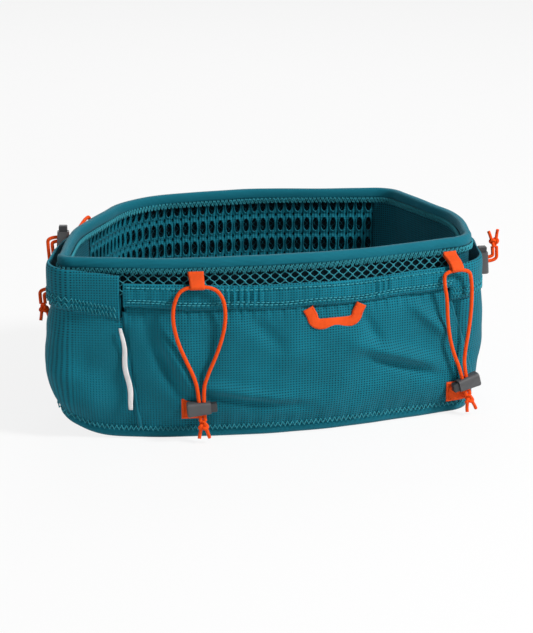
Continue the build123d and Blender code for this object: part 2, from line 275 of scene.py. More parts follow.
def braided(name, colour, pitch, roughness=0.6, sheen=0.03):
    """Cord or thread: two crossing families of fine yarns, in the piece's own coordinates."""
    material, shader = new_material(name, roughness, sheen)
    vector, (x, y, z) = axes(material, "Object")
    slant = math_node(material, "ADD", x, z)
    other = math_node(material, "SUBTRACT", math_node(material, "ADD", y, z), x)
    weave = math_node(material, "MAXIMUM", wave01(material, slant, pitch), wave01(material, other, pitch))
    # the gaps between yarns are painted at 0.62 of the colour: painted shade between the yarns
    base = mix_colour(material, weave, tuple(c * 0.62 for c in colour), colour)
    link(material, base, shader.inputs["Base Color"])
    bump(material, shader, weave, 0.6, 0.25)
    return material


def woven_tape(name, colour, pitch):
    """Flat webbing with a plain weave."""
    material, shader = new_material(name, 0.75, 0.03)
    vector, (u, v, _) = axes(material)
    weave = math_node(material, "MULTIPLY", wave01(material, u, pitch), wave01(material, v, pitch * 0.7))
    shaded = mix_colour(material, mottle(material, vector, 60, 0.0, 1.0),
                        tuple(c * 0.8 for c in colour), tuple(min(1.0, c * 1.1) for c in colour))
    # the weave's raised crossings are painted lighter, up to 1.25 of the colour: painted highlight on the yarns
    base = mix_colour(material, weave, shaded, tuple(min(1.0, c * 1.25) for c in colour))
    link(material, base, shader.inputs["Base Color"])
    bump(material, shader, weave, 0.5, 0.25)
    return material


def moulded(name, colour, roughness, metallic=0.0, grain=900):
    """Moulded plastic or drawn wire, with a faint grain."""
    material, shader = new_material(name, roughness)
    shader.inputs["Specular IOR Level"].default_value = 0.5
    shader.inputs["Metallic"].default_value = metallic
    vector, _ = axes(material, "Object")
    tone = mottle(material, vector, 180, 0.0, 1.0)
    base = mix_colour(material, tone, tuple(c * 0.88 for c in colour), tuple(min(1.0, c * 1.1) for c in colour))
    link(material, base, shader.inputs["Base Color"])
    bump(material, shader, mottle(material, vector, grain, 0.0, 1.0), 0.12, 0.1)
    return material


MESH = dotted_mesh("perforated_mesh", TEAL, HOLE_SHADE_TEAL, 1.95, 0.9, 0.05, 0.36)
# the stretch mesh inside the flanks, a darker copy of the teal: painted shade inside the pack
WING = dotted_mesh("stretch_mesh", (0.003, 0.11, 0.155), HOLE_SHADE_TEAL, 1.9, 0.95, 0.04, 0.4)
BINDING = ribbed_knit("binding_tape", TEAL, 0.9, "v", 0.45, 0.10, 0.25)
HEM = dotted_mesh("elastic_webbing", tuple(c * 1.06 for c in TEAL), HOLE_SHADE_TEAL, 1.95, 0.85, 0.05, 0.36)
KNIT = ribbed_knit("spacer_knit", tuple(c * 1.1 for c in TEAL), 2.25, "u", 0.8, 0.06, 0.5)
# the spacer mesh's middle layer, partly real: its near-black colour is painted shade seen through the holes
CORE_PAINTED_SHADE = dotted_mesh("spacer_core_painted_shade", (0.001, 0.014, 0.022), HOLE_SHADE_TEAL, 1.5, 0.6, 0.0, 0.3)
NET = ribbed_knit("spacer_net", TEAL_BRIGHT, 0.8, "v", 0.5, 0.15, 0.25)
# the inner net is the teal at 0.45: painted shade inside the spacer mesh
INNER_NET = ribbed_knit("spacer_inner_net", tuple(c * 0.45 for c in TEAL), 0.8, "v", 0.5, 0.0, 0.3)
THREAD = braided("teal_thread", TEAL_BRIGHT, 0.7)
CORD_ORANGE = braided("shock_cord", ORANGE, 0.9)
TAPE = woven_tape("orange_tape", TAPE_ORANGE, 0.9)
REFLECTIVE = woven_tape("reflective_tape", (0.80, 0.78, 0.78), 0.6)
PLASTIC = moulded("grey_plastic", (0.075, 0.075, 0.078), 0.38)
DARK_PLASTIC = moulded("dark_plastic", (0.03, 0.03, 0.032), 0.42)
STEEL = moulded("spring_steel", (0.6, 0.6, 0.6), 0.3, 1.0)


# ---- building pieces ----
def piece(name, verts, faces, material, uv=None):
    data = bpy.data.meshes.new(name)
    data.from_pydata(np.asarray(verts).reshape(-1, 3).tolist(), [], [tuple(f) for f in faces])
    if uv is not None:
        layer = data.uv_layers.new(name="cloth")
        corners = np.empty(len(data.loops), np.int32)
        data.loops.foreach_get("vertex_index", corners)
        layer.data.foreach_set("uv", np.asarray(uv, float).reshape(-1, 2)[corners].ravel())
    data.materials.append(material)
    data.shade_smooth()
    made = bpy.data.objects.new(name, data)
    bpy.context.scene.collection.objects.link(made)
    return made


def grid_faces(columns, rows, start=0):
    i, j = np.meshgrid(np.arange(columns - 1), np.arange(rows - 1), indexing="ij")
    a = start + i * rows + j
    return np.stack((a, a + rows, a + rows + 1, a + 1), axis=-1).reshape(-1, 4)


def cloth(name, s, z, outer, inner, material, body, slot, *nodes):
    """A closed sheet between two offsets, over a grid of places (s, z)."""
    s, z, outer, inner = np.broadcast_arrays(s, z, outer, inner)
    columns, rows = s.shape
    verts = np.concatenate((place(s, outer, z).reshape(-1, 3), place(s, inner, z).reshape(-1, 3)))
    front = grid_faces(columns, rows)
    back = grid_faces(columns, rows, columns * rows)[:, ::-1]
    index = np.arange(columns * rows).reshape(columns, rows)
    rim = np.concatenate((index[:, 0], index[-1, 1:], index[-2::-1, -1], index[0, -2:0:-1]))
    after = np.roll(rim, -1)
    edge = np.stack((rim + columns * rows, after + columns * rows, after, rim), axis=-1)
    faces = np.concatenate((front, back, edge)).tolist()
    uv = np.stack((s, z), axis=-1).reshape(-1, 2) * MM
    made = piece(name, verts, faces, material, np.concatenate((uv, uv)))
    return finish(made, body, slot, *nodes)


def finish(made, body, slot, *nodes):
    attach(made, body)
    if nodes:
        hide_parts(*nodes)
    return made


def span(start, end, step):
    return np.linspace(start, end, max(3, int(round(abs(end - start) / step)) + 1))


def swept_ring(name, profile, material, slot, wander, *nodes):
    """A closed profile of (n, z) carried right round the plan."""
    s = np.linspace(0, AROUND, 560, endpoint=False)
    n = np.array([p[0] for p in profile])[None, :] + wander(s)[0][:, None]
    z = np.array([p[1] for p in profile])[None, :] + wander(s)[1][:, None]
    count = len(profile)
    verts = place(s[:, None] + 0 * n, n, z).reshape(-1, 3)
    i, j = np.meshgrid(np.arange(len(s)), np.arange(count), indexing="ij")
    i2, j2 = (i + 1) % len(s), (j + 1) % count
    faces = np.stack((i * count + j, i2 * count + j, i2 * count + j2, i * count + j2), axis=-1).reshape(-1, 4)
    along = np.cumsum([0.0] + [math.dist(a, b) for a, b in zip(profile, profile[1:])])
    uv = np.stack((s[:, None] + 0 * n, along[None, :] + 0 * n), axis=-1) * MM
    return finish(piece(name, verts, faces.tolist(), material, uv), "pack", slot, *nodes)


def threads(name, runs, radius, material, body, slot, sides=5):
    """Thin tubes along runs of points in metres."""
    verts, faces = [], []
    for run in runs:
        run = np.asarray(run)
        ahead = np.gradient(run, axis=0)
        ahead /= np.linalg.norm(ahead, axis=1)[:, None]
        up = np.array((0.31, 0.23, 0.92))
        across = np.cross(ahead, up)
        across /= np.linalg.norm(across, axis=1)[:, None]
        over = np.cross(ahead, across)
        start = len(verts)
        for k in range(len(run)):
            size = radius * MM
            for angle in TAU * np.arange(sides) / sides:
                verts.append(run[k] + size * (math.cos(angle) * across[k] + math.sin(angle) * over[k]))
        for k in range(len(run) - 1):
            for a in range(sides):
                b = (a + 1) % sides
                row, following = start + k * sides, start + (k + 1) * sides
                faces.append((row + a, row + b, following + b, following + a))
        faces.append(tuple(start + a for a in range(sides))[::-1])
        faces.append(tuple(start + (len(run) - 1) * sides + a for a in range(sides)))
    return finish(piece(name, np.array(verts), faces, material), body, slot)


def zigzag(start, end, low, high, pitch, n, phase=0.0):
    """One long zigzag stitch, as points."""
    s = np.arange(start, end, pitch / 2)
    swing = np.where(np.arange(len(s)) % 2 == 0, 1.0, 0.0)
    low_z = low(s) if callable(low) else low
    high_z = high(s) if callable(high) else high
    offset = n(s) if callable(n) else n
    return place(s + phase, offset, low_z + (high_z - low_z) * swing)


def dashes(start, end, z, n, length=2.4, gap=0.9):
    """A line of separate stitches."""
    runs = []
    for s in np.arange(start, end, length + gap):
        part = np.linspace(s, s + length, 4)
        dip = np.array((-0.35, 0.15, 0.15, -0.35))
        height = z(part) if callable(z) else z + 0 * part
        offset = n(part) if callable(n) else n + 0 * part
        runs.append(place(part, offset + dip, height))
    return runs


def ridge(s, z, start, end, width, height):
    """A fold from one place to another."""
    ds, dz = end[0] - start[0], end[1] - start[1]
    length = math.hypot(ds, dz)
    along = ((s - start[0]) * ds + (z - start[1]) * dz) / length ** 2
    off = (-(s - start[0]) * dz + (z - start[1]) * ds) / length
    fade = np.sin(np.pi * np.clip(along, 0, 1)) ** 0.8
    return height * fade * np.exp(-((off / width) ** 2))


def window(s, start, end, soft=6.0):
    """1 between start and end, falling smoothly to 0 over soft."""
    rise = np.clip((s - start) / soft + 0.5, 0, 1)
    fall = np.clip((end - s) / soft + 0.5, 0, 1)
    return (rise * fall) ** 1.5


# ---- edges that the pieces share ----
MIDDLE_S = (NEAR_LEFT + NEAR_RIGHT) / 2
HALF_S = (NEAR_RIGHT - NEAR_LEFT) / 2


def hem_low(s):
    t = (s - MIDDLE_S) / HALF_S
    return 94.2 + 3.4 * t ** 2 - 0.6 * t + 0.5 * np.sin(s / 9.0)


def hem_high(s):
    t = (s - MIDDLE_S) / HALF_S
    return 111.6 + 2.4 * t ** 2 - 1.3 * t + 0.35 * np.sin(s / 13.0 + 1)


def near_left_edge(z):
    return NEAR_LEFT + 4.0 + (83.0 - z) * 0.11


def near_right_edge(z):
    return NEAR_RIGHT - 2.0 + np.clip(90.0 - z, 0, 90) * 0.30


def binding_wander(top):
    def wander(s):
        sway = 0.25 * np.sin(s / 17.0) + 0.18 * np.sin(s / 6.1 + 2)
        lift = 0.30 * np.sin(s / 23.0 + 1) if top else 0.12 * np.abs(np.sin(s / 21.0))
        return sway, lift
    return wander


def bindings():
    """The two bound edges, each a tape folded over the inner layer."""
    top, low = PACK_HEIGHT, PACK_HEIGHT - BINDING_HEIGHT
    over = [(1.0, low), (1.5, low + 1.4), (1.6, low + 3.8), (1.3, top - 1.6), (0.4, top - 0.4), (-1.5, top),
            (-3.4, top - 0.4), (-4.3, top - 1.6), (-4.6, low + 3.8), (-4.5, low + 1.4), (-4.0, low), (-1.5, low + 1.0)]
    swept_ring("top_binding_tape", over, BINDING, "binding_tape", binding_wander(True), "top_binding")
    under = [(-1.5, 6.4), (-4.2, 7.2), (-4.9, 5.6), (-4.8, 2.6), (-4.0, 0.8), (-1.5, 0.3),
             (1.2, 0.6), (2.2, 2.2), (2.5, 4.6), (1.9, 7.2)]
    swept_ring("bottom_binding_tape", under, BINDING, "binding_tape", binding_wander(False), "bottom_binding")
    runs = [zigzag(0, AROUND, low - 3.4, low + 0.6, 3.2, 1.9),
            zigzag(0, AROUND, low - 3.0, low + 0.9, 3.2, 2.2, 1.1),
            zigzag(0, AROUND, low - 3.4, low + 0.6, 3.2, -5.2),
            zigzag(0, AROUND, low - 3.0, low + 0.9, 3.2, -5.5, 1.1),
            zigzag(0, AROUND, 6.6, 10.0, 3.4, 4.4),
            zigzag(0, AROUND, 5.6, 9.0, 3.4, -5.0)]
    threads("binding_stitches", runs, 0.48, THREAD, "pack", "binding_tape")


# ---- the inner layer ----
HOLE_PITCH, ROW_PITCH = 6.75, 15.6
HOLE_WIDTH, HOLE_HEIGHT = 4.6, 10.6
TOP_ROW = 117.3


def holed_knit(name, start, end, *nodes):
    """The spacer mesh's inner face: columns of oval holes with raised rims in a ribbed knit."""
    columns = int((end - start) / HOLE_PITCH)
    pitch = (end - start) / columns
    rows = [TOP_ROW - ROW_PITCH * k for k in range(8)]
    count = 20
    angle = TAU * np.arange(count) / count
    # points round the cell's edge, one for each point of the oval
    reach = np.maximum(np.abs(np.cos(angle)), np.abs(np.sin(angle)))
    edge_s, edge_z = np.cos(angle) / reach * pitch / 2, np.sin(angle) / reach * ROW_PITCH / 2
    oval_s, oval_z = np.cos(angle) * HOLE_WIDTH / 2, np.sin(angle) * HOLE_HEIGHT / 2
    # how far each loop of points is from the oval to the cell's edge, and how proud it stands
    loops = [(1.0, 0.0), (0.42, 0.10), (0.24, 1.0), (0.0, 0.6), (0.0, -0.75), (0.35, -0.8), (1.0, -0.8)]
    verts, faces, uvs = [], [], []
    for column in range(columns):
        s0 = start + pitch * (column + 0.5)
        wobble = 0.35 * math.sin(column * 1.7)
        for row, z0 in enumerate(rows):
            base = len(verts) * count
            for share, lift in loops:
                s = s0 + share * edge_s + (1 - share) * (oval_s + wobble * 0.3)
                z = z0 + share * edge_z + (1 - share) * oval_z
                z = np.clip(z, 3.0, 124.0)
                gather = 1.1 * np.exp(-((z - 120.0) / 2.6) ** 2) * (0.5 - 0.5 * np.cos(TAU * (s - s0) / pitch))
                verts.append(place(s, -LAYER - lift - gather, z))
                uvs.append(np.stack((s, z), axis=-1) * MM)
            for k in range(len(loops) - 1):
                for a in range(count):
                    b = (a + 1) % count
                    faces.append((base + k * count + a, base + k * count + b,
                                  base + (k + 1) * count + b, base + (k + 1) * count + a))
    return finish(piece(name, np.array(verts), faces, KNIT, np.array(uvs)), "pack", "spacer_mesh", *nodes)


def net(name, start, end, low, high, pitch, cell, n, width, material):
    """The spacer mesh's outer face: strands that swing to meet their neighbours, leaving diamonds."""
    verts, faces, uvs = [], [], []
    z = np.arange(low, high + 0.5, cell / 12)
    count = int((end - start) / (pitch / 2))
    for k in range(count):
        middle = start + (k + 0.5) * pitch / 2
        side = 1 if k % 2 == 0 else -1
        swing = side * (pitch / 4) * np.cos(np.pi * z / (cell / 2)) * 1.0
        base = len(verts) * 4
        for s, height, lean in zip(middle + swing, z, np.sin(np.pi * z / (cell / 2))):
            fat = width * (0.62 + 0.38 * (1 - abs(lean)))
            corners = [(-fat, 0.0), (0.0, 0.55), (fat, 0.0), (0.0, -0.45)]
            verts.append(place(np.array([s + c[0] * 0.62 for c in corners]),
                               np.array([n + c[1] for c in corners]), np.full(4, height)))
            uvs.append(np.array([(s + c[0], height) for c in corners]) * MM)
        for i in range(len(z) - 1):
            for a in range(4):
                b = (a + 1) % 4
                faces.append((base + i * 4 + a, base + i * 4 + b, base + i * 4 + 4 + b, base + i * 4 + 4 + a))
    return finish(piece(name, np.array(verts), faces, material, np.array(uvs)), "pack", "spacer_mesh")


def inner_layer():
    holed_knit("near_spacer_knit", NEAR_LEFT, NEAR_RIGHT, "near_spacer_panel")
    holed_knit("far_spacer_knit", FAR_RIGHT, FAR_LEFT, "far_spacer_panel")
    net("near_spacer_net", NEAR_LEFT - 2, NEAR_RIGHT + 2, 102, 121.5, 7.0, 6.6, 0.5, 1.5, NET)
    net("far_spacer_net", FAR_RIGHT, FAR_LEFT, 96, 121.5, 7.0, 6.6, 0.5, 1.5, NET)
    net("near_inner_net", NEAR_LEFT, NEAR_RIGHT, 8, 121.5, 5.4, 6.0, -2.1, 0.6, INNER_NET)
    net("far_inner_net", FAR_RIGHT, FAR_LEFT, 8, 121.5, 5.4, 6.0, -2.1, 0.6, INNER_NET)
    # a near-black sheet between knit and net: the spacer mesh's middle layer, coloured as painted shade behind the
    # holes
    for name, start, end in (("near_spacer_core", NEAR_LEFT, NEAR_RIGHT), ("far_spacer_core", FAR_RIGHT, FAR_LEFT)):
        s, z = np.meshgrid(span(start, end, 4), span(5, 123, 8), indexing="ij")
        cloth(name, s, z, -0.9 + 0 * s, -1.3 + 0 * s, CORE_PAINTED_SHADE, "pack", "spacer_mesh")
    for name, start, end in (("left_stretch_wing", FAR_LEFT, LEFT_END), ("right_stretch_wing", NEAR_RIGHT, FAR_RIGHT)):
        s, z = np.meshgrid(span(start, end, 3), span(3, 124, 4), indexing="ij")
        fold = 0.6 * np.sin(s / 11.0 + z / 30.0)
        cloth(name + "_mesh", s, z, -0.4 + fold * 0.4, -2.4 + fold * 0.4, WING, "pack", "stretch_mesh", name)


# ---- pockets ----
def rounded_in(z, low, high, reach, power=2.2):
    """1 in the middle of the height, easing to 0 at its lower edge."""
    t = np.clip((z - low) / reach, 0, 1)
    return 1 - (1 - t) ** power


def near_folds(s, z):
    x = s_near
    total = ridge(s, z, (x(-84), 44), (x(-6), 26), 5.0, 2.2)
    total += ridge(s, z, (x(-70), 34), (x(10), 20), 4.0, -1.6)
    total += ridge(s, z, (x(30), 66), (x(104), 42), 5.5, 2.3)
    total += ridge(s, z, (x(40), 56), (x(110), 30), 4.5, -1.7)
    total += ridge(s, z, (x(-112), 90), (x(-84), 30), 5.0, -1.8)
    total += ridge(s, z, (x(-104), 84), (x(-70), 22), 5.0, 1.6)
    total += ridge(s, z, (x(76), 92), (x(112), 60), 4.5, 1.8)
    total += ridge(s, z, (x(-40), 90), (x(-12), 62), 5.5, -1.2)
    total += ridge(s, z, (x(40), 88), (x(58), 58), 4.5, -1.3)
    return total


def wrinkles(s, z):
    """Small uneven waves all over a slack cloth."""
    return (0.45 * np.sin(s / 7.7 + z / 11.0) * np.sin(z / 9.0 - s / 31.0) + 0.30 * np.sin(s / 4.3 - z / 6.1 + 1.3)
            * np.sin(s / 23.0 + z / 13.0) + 0.35 * np.sin(s / 19.0 + 0.4) * np.sin(z / 14.0))


def near_pocket():
    z_line = span(6.5, 97, 1.6)
    t = span(0, 1, 1 / 230)
    z = z_line[None, :] + 0 * t[:, None]
    s = near_left_edge(z) + (near_right_edge(z) - near_left_edge(z)) * t[:, None]
    ease = rounded_in(z, 6.5, 97, 26)
    sides = np.sin(np.pi * np.clip(t, 0, 1))[:, None] ** 0.35
    outer = 2.6 + (6.6 + 2.6 * np.sin(np.pi * (z - 6.5) / 92)) * ease * (0.55 + 0.45 * sides)
    outer = outer + (2.1 * near_folds(s, z) + 1.3 * wrinkles(s, z)) * ease
    # the mouth is drawn in under the hem, with small puckers hanging from it
    drawn = np.clip((z - 84) / 12, 0, 1)
    outer = outer - 1.4 * drawn + 0.45 * drawn * np.sin(TAU * s / 7.3) + 0.25 * drawn * np.sin(TAU * s / 4.1)
    outer = outer + 0.45 * np.sin(TAU * s / 11.0) * np.clip((22 - z) / 15, 0, 1)
    made = cloth("near_pocket_mesh", s, z, outer, outer - 0.8, MESH, "pack", "perforated_mesh", "near_pocket")


def hem_strip(name, start, end, low, high, gathers, node_name, elastic):
    """A casing round flat elastic: rounded edges, ribs and bunches of gathers."""
    s_line = span(start, end, 1.0)
    v = np.linspace(0, 1, 17)
    s = s_line[:, None] + 0 * v[None, :]
    bunch = sum(window(s_line, a, b) for a, b in gathers) + 0 * s_line
    ripple = bunch * np.sin(TAU * s_line / 4.6) + 0.25 * np.sin(TAU * s_line / 8.7)
    z = low(s_line)[:, None] + (high(s_line) - low(s_line))[:, None] * v[None, :]
    z = z + (0.5 * ripple)[:, None] * (1 - v[None, :])
    crown = (1 - np.abs(2 * v - 1) ** 5)[None, :]
    channel = -0.55 * np.exp(-((v - 0.26) / 0.05) ** 2)[None, :] - 0.35 * np.exp(-((v - 0.82) / 0.05) ** 2)[None, :]
    outer = 9.1 + 1.9 * crown + channel + (0.95 * ripple)[:, None] * (0.35 + 0.65 * crown)
    made = cloth(name, s, z, outer, 8.7 + 0 * outer, HEM, "pack", "elastic_webbing", node_name, elastic)
    return made


def near_hem():
    gathers = [(s_near(-56), s_near(-28)), (s_near(46), s_near(63))]
    hem_strip("near_hem_casing", NEAR_LEFT + 2.5, NEAR_RIGHT + 0.5, hem_low, hem_high, gathers,
              "near_hem", "near_hem_elastic")
    runs = dashes(NEAR_LEFT + 5, NEAR_RIGHT - 3, lambda s: hem_low(s) + 4.0, 11.2)
    runs += dashes(NEAR_LEFT + 6, NEAR_RIGHT - 3, lambda s: hem_low(s) + 5.6, 11.2)
    runs += dashes(NEAR_LEFT + 5, NEAR_RIGHT - 3, lambda s: hem_high(s) - 2.6, 11.1)
    threads("near_hem_stitches", runs, 0.38, THREAD, "pack", "elastic_webbing", 4)


def far_pocket():
    s, z = np.meshgrid(span(FAR_RIGHT, FAR_LEFT, 1.6), span(6.5, 97, 2.0), indexing="ij")
    ease = rounded_in(z, 6.5, 97, 26)
    end = np.minimum(s - FAR_RIGHT, FAR_LEFT - s) / 25
    outer = 2.6 + (6.0 + 2.4 * np.sin(np.pi * (z - 6.5) / 92)) * ease * (0.5 + 0.5 * np.clip(end, 0, 1) ** 0.5)
    outer = outer + ease * (0.9 * np.sin(s / 15.0 + z / 21.0) + 0.5 * np.sin(s / 7.0 - z / 16.0))
    made = cloth("far_pocket_mesh", s, z, outer, outer - 0.8, MESH, "pack", "perforated_mesh", "far_pocket")
    low = lambda s: 91.5 + 0.6 * np.sin(s / 12.0)
    high = lambda s: 106.0 + 0.4 * np.sin(s / 15.0)
    third = (FAR_LEFT - FAR_RIGHT) / 3
    hem_strip("far_hem_casing", FAR_RIGHT, FAR_LEFT, low, high,
              [(FAR_RIGHT + third - 12, FAR_RIGHT + third + 12), (FAR_LEFT - third - 12, FAR_LEFT - third + 12)],
              "far_hem", "far_hem_elastic")
    runs = dashes(FAR_RIGHT + 2, FAR_LEFT - 3, lambda s: low(s) + 4.0, 12.0)
    runs += dashes(FAR_RIGHT + 2, FAR_LEFT - 3, lambda s: high(s) - 2.6, 12.0)
    threads("far_hem_stitches", runs, 0.27, THREAD, "pack", "elastic_webbing", 4)


def left_band_low(s):
    t = np.clip((LEFT_END - s) / 46, 0, 1)
    return 87.6 + 9.4 * t - 6.0 * np.clip((LEFT_END - s - 60) / 60, 0, 1)


def left_band_high(s):
    t = np.clip((LEFT_END - s) / 46, 0, 1)
    return 119.8 + 5.2 * t - 4.0 * np.clip((LEFT_END - s - 60) / 60, 0, 1)


def flank_pocket(name, start, end, top, bulge, node_name, left=False):
    rows = np.linspace(0, 1, 52)
    columns = span(start, end, 1.6)
    t = (columns - columns[0]) / (columns[-1] - columns[0])
    s_mid = columns[:, None] + 0 * rows[None, :]
    z = 6.5 + (top(columns) + 2.0 - 6.5)[:, None] * rows[None, :]
    # the seam with the near pocket leans, and the cloth stretches to meet it
    if left:
        shift = (near_left_edge(z) - NEAR_LEFT) * (t[:, None] ** 6)
    else:
        shift = (near_right_edge(z) - NEAR_RIGHT) * ((1 - t)[:, None] ** 6)
    s = s_mid + shift
    ease = rounded_in(z, 6.5, 90, 24)
    ends = np.minimum(t, 1 - t)[:, None] * (columns[-1] - columns[0]) / 22
    belly = bulge * np.sin(np.pi * np.clip((z - 6.5) / 86, 0, 1))
    outer = 2.6 + (5.0 + belly) * ease * (0.45 + 0.55 * np.clip(ends, 0, 1) ** 0.6)
    outer = outer + ease * (1.0 * np.sin(s / 9.0 + z / 17.0) + 0.3 * np.sin(s / 8.3 - z / 23.0)
                            + 1.4 * wrinkles(s, z))
    made = cloth(name, s, z, outer, outer - 0.8, MESH, "pack", "perforated_mesh", node_name)
    float(np.mean(top(columns))) + 2


def flank_band(name, start, end, low, high, node_name):
    columns = span(start, end, 1.4)
    v = np.linspace(0, 1, 15)
    s = columns[:, None] + 0 * v[None, :]
    z = low(columns)[:, None] + (high(columns) - low(columns))[:, None] * v[None, :]
    crown = (1 - np.abs(2 * v - 1) ** 6)[None, :]
    ripple = 0.35 * np.sin(columns / 6.0)[:, None] * v[None, :]
    outer = 8.6 + 1.1 * crown + ripple - 0.4 * np.exp(-((v - 0.3) / 0.05) ** 2)[None, :]
    cloth(name, s, z, outer, 7.4 + 0 * outer, MESH, "pack", "stretch_mesh", node_name)
    return [zigzag(start + 2, end - 2, lambda q: low(q) + 2.0, lambda q: low(q) + 5.6, 2.6, 9.9),
            zigzag(start + 2, end - 2, lambda q: low(q) + 6.6, lambda q: low(q) + 9.6, 2.6, 9.9)]


def flanks():
    flank_pocket("left_flank_mesh", FAR_LEFT, LEFT_END, left_band_low, 4.2, "left_flank_pocket", True)
    right_low = lambda s: 87.0 + 1.5 * np.sin((s - NEAR_RIGHT) / 40)
    right_high = lambda s: 113.0 + 1.5 * np.sin((s - NEAR_RIGHT) / 35)
    flank_pocket("right_flank_mesh", NEAR_RIGHT, FAR_RIGHT, right_low, 2.6, "right_flank_pocket")
    runs = flank_band("left_flank_casing", FAR_LEFT, LEFT_END, left_band_low, left_band_high, "left_flank_band")
    runs += flank_band("right_flank_casing", NEAR_RIGHT - 2, FAR_RIGHT, right_low, right_high, "right_flank_band")
    threads("flank_stitches", runs, 0.40, THREAD, "pack", "stretch_mesh", 4)


def seam_piping():
    """The leaning seams of the near pocket, as a tucked ridge, and the reflective strip by the left one."""
    for name, edge, side in (("near_left_seam", near_left_edge, -1), ("near_right_seam", near_right_edge, 1)):
        z = span(8, 94, 2)
        centre = edge(z)
        across = np.array([-1.6, -0.9, 0.0, 0.9, 1.6])
        high = np.array([0.0, 0.9, 1.2, 0.9, 0.0])
        s = centre[:, None] + across[None, :]
        zz = z[:, None] + 0 * s
        ease = rounded_in(z, 6.5, 97, 26)[:, None]
        n = 2.6 + 4.2 * ease + high[None, :]
        cloth(name, s[::-1], zz[::-1], n[::-1], n[::-1] - 1.0, BINDING, "pack", "binding_tape")
    z = np.linspace(24, 83, 60)
    t = (z - 24) / 59
    width = 2.1 * (0.62 + 0.38 * np.sin(np.pi * t) ** 0.5) * (1 - 0.25 * t)
    middle = near_left_edge(z) - 3.2 + 0.7 * np.sin(z / 5.0)
    v = np.linspace(-1, 1, 5)
    s = middle[:, None] + width[:, None] * v[None, :]
    n = 10.9 + 0.35 * np.sin(z / 3.7)[:, None] + 0.2 * (1 - v[None, :] ** 2)
    zz = z[:, None] + 0 * s
    cloth("reflective_strip_tape", s[::-1], zz[::-1], n[::-1], n[::-1] - 0.5, REFLECTIVE, "pack",
          "reflective_tape", "reflective_strip")


# ---- pull loop ----
def pull_loop():
    """A flat U of folded webbing under the near hem, a little curled along its edges."""
    middle = s_of(*plan_point(0.222, -0.98))
    mouth, foot, top, low, tape = 38.0, 27.0, 93.5, 78.0, 7.4
    # the middle line of the tape, down one side and up the other
    corner = 6.0
    line = []
    half_top, half_low = mouth / 2, foot / 2 + 1.5
    bottom = low + tape / 2
    for t in np.linspace(0, 1, 8):
        line.append((-half_top + (half_top - half_low - 1.0) * t, top + (bottom + corner - top) * t))
    for a in np.linspace(0, math.pi / 2, 8)[1:]:
        line.append((-half_low - 1.0 + corner * (1 - math.cos(a)), bottom + corner * (1 - math.sin(a))))
    line += [(-x, z) for x, z in reversed(line)]
    line = np.array(line)
    ahead = unit_rows(np.gradient(line, axis=0))
    across = np.stack((-ahead[:, 1], ahead[:, 0]), axis=-1)
    v = np.linspace(-1, 1, 9)
    length = np.concatenate(([0], np.cumsum(np.linalg.norm(np.diff(line, axis=0), axis=1))))
    flat = line[:, None, :] + across[:, None, :] * (tape / 2) * v[None, :, None]
    curl = 0.5 * (v ** 2)[None, :] - 0.25 * np.sin(length / 7.0)[:, None]
    outer = 11.3 - curl + 0.5 * np.clip((92 - flat[:, :, 1]) / 15, 0, 1)
    s, z = middle + flat[:, :, 0], flat[:, :, 1]
    made = cloth("pull_loop_tape", s, z, outer, outer - 1.3, TAPE, "pull_loop", "orange_tape", "pull_loop")
    runs = []
    for offset in (-0.78, 0.78):
        track = line + across * (tape / 2) * offset
        for k in range(1, len(track) - 2, 2):
            part = track[k:k + 2]
            runs.append(place(middle + part[:, 0], 11.4, part[:, 1]))
    threads("pull_loop_stitches", runs, 0.25, CORD_ORANGE, "pull_loop", "orange_tape", 4)
    return made


def unit_rows(rows):
    return rows / np.linalg.norm(rows, axis=1)[:, None]


# ---- cord loops ----
NEAR_LEFT_ROUTE = [
    (1.56, 16.4), (0.06, 37.9), (-3.0, 49.5), (-8.6, 61.5), (-14.2, 75.5), (-17.2, 90.5), (-15.8, 103.6),
    (-10.0, 113.4), (10.0, 113.4),
    (17.6, 106.0), (19.6, 92.4), (17.4, 77.5), (12.2, 62.5), (6.6, 50.0), (3.06, 38.1), (4.56, 16.6),
]
NEAR_RIGHT_ROUTE = [
    (10.41, 15.9), (4.85, 36.7), (-0.2, 47.6), (-4.2, 60.6), (-6.4, 75.6), (-7.2, 90.5), (-9.8, 102.6),
    (-9.6, 110.5), (9.6, 110.5),
    (11.9, 102.4), (12.6, 90.5), (12.2, 77.0), (10.6, 63.0), (8.4, 50.0), (7.75, 37.5), (13.3, 16.7),
]
STRAND_PITCH = 3.0
SHORT_TAILS = [(-9.8, 13.6)]
LONG_TAILS = [(-21.8, 12.9), (-13.2, 13.4)]


def flank_route(tails):
    flat = FLANK_CORD_PLANE
    lower = [(across, flat + outward, -38.6) for across, outward in tails]
    lower += [(-6.2, flat + 14.0, -38.7), (-1.5, flat + 14.4, -38.44), (-1.5, flat, -33.2), (-1.9, flat, -28.6),
              (-6.4, flat, -19.4), (-9.6, flat, -9.6), (-9.7, flat, 0.0)]
    upper = [(9.7, flat, 0.0), (9.5, flat, -9.8), (6.0, flat, -19.6), (1.8, flat, -28.8), (1.5, flat, -33.2),
             (1.5, flat + 17.4, -39.53), (-6.2, flat + 17.0, -39.6)]
    upper += [(across, flat + outward + STRAND_PITCH, -39.7) for across, outward in reversed(tails)]
    return lower + upper


